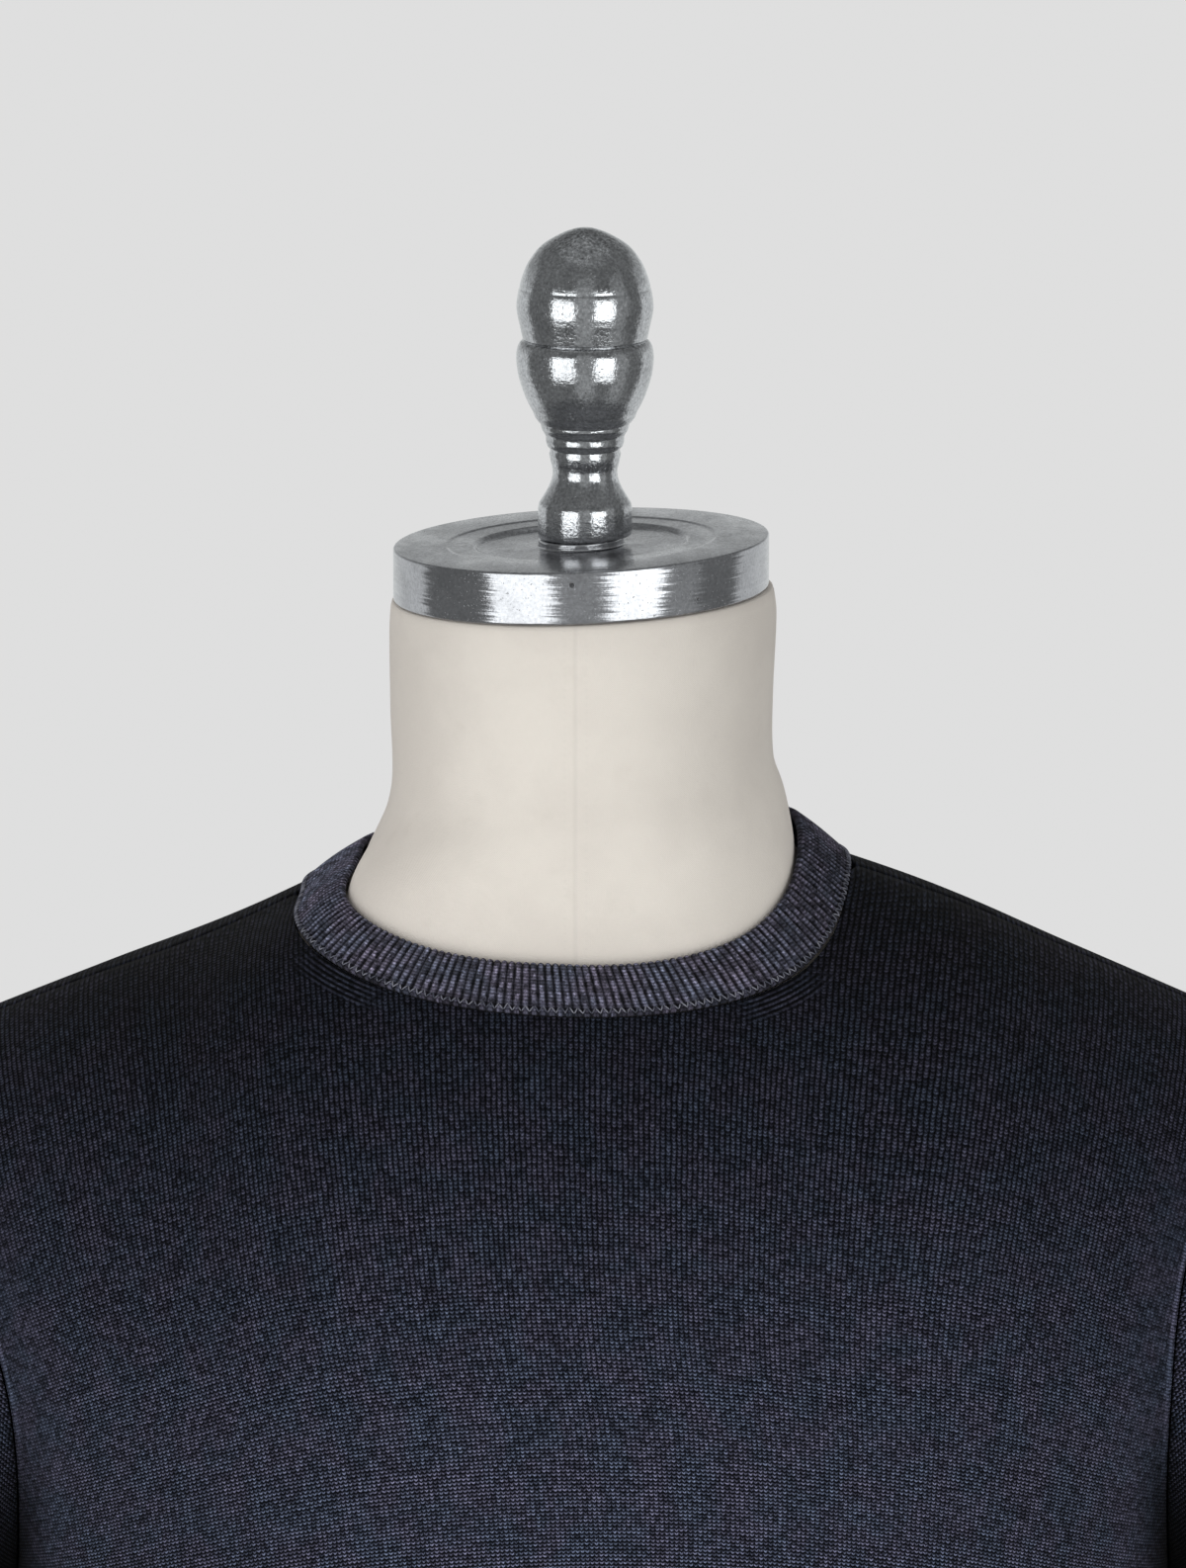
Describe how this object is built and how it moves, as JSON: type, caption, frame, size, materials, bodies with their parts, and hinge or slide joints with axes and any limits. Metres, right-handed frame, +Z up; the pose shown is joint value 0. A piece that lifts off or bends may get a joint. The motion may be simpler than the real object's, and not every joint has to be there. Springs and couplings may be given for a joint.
{
  "type": "crew neck sweater on a dress form",
  "caption": "Fine-knit crew neck sweater with ribbed collar, cuffs and hem, worn by a limbless dress form with a metal neck cap and a turned knob on a low round stand.",
  "frame": {"origin": "centre of the stand's underside", "axes": "+Z up through the form's neck, the garment's front faces -Y, +X to the right seen from the front"},
  "size_m": [0.539, 0.3, 1.1023],
  "materials": {
    "plain_knit": "matte heathered stockinette",
    "rib_knit": "matte heathered one by one rib",
    "canvas": "plain cotton canvas",
    "brushed_metal": "brushed",
    "turned_metal": "turned and polished"
  },
  "bodies": {
    "root": {"sweater_front": "plain_knit", "sweater_back": "plain_knit", "sleeve_left": "plain_knit", "sleeve_right": "plain_knit", "collar_rib": "rib_knit", "hem_rib": "rib_knit", "cuff_left": "rib_knit", "cuff_right": "rib_knit", "form_body": "canvas", "neck_cap": "brushed_metal", "neck_knob": "turned_metal", "stand_column": "brushed_metal", "stand_base": "brushed_metal"}
  },
  "joints": []
}
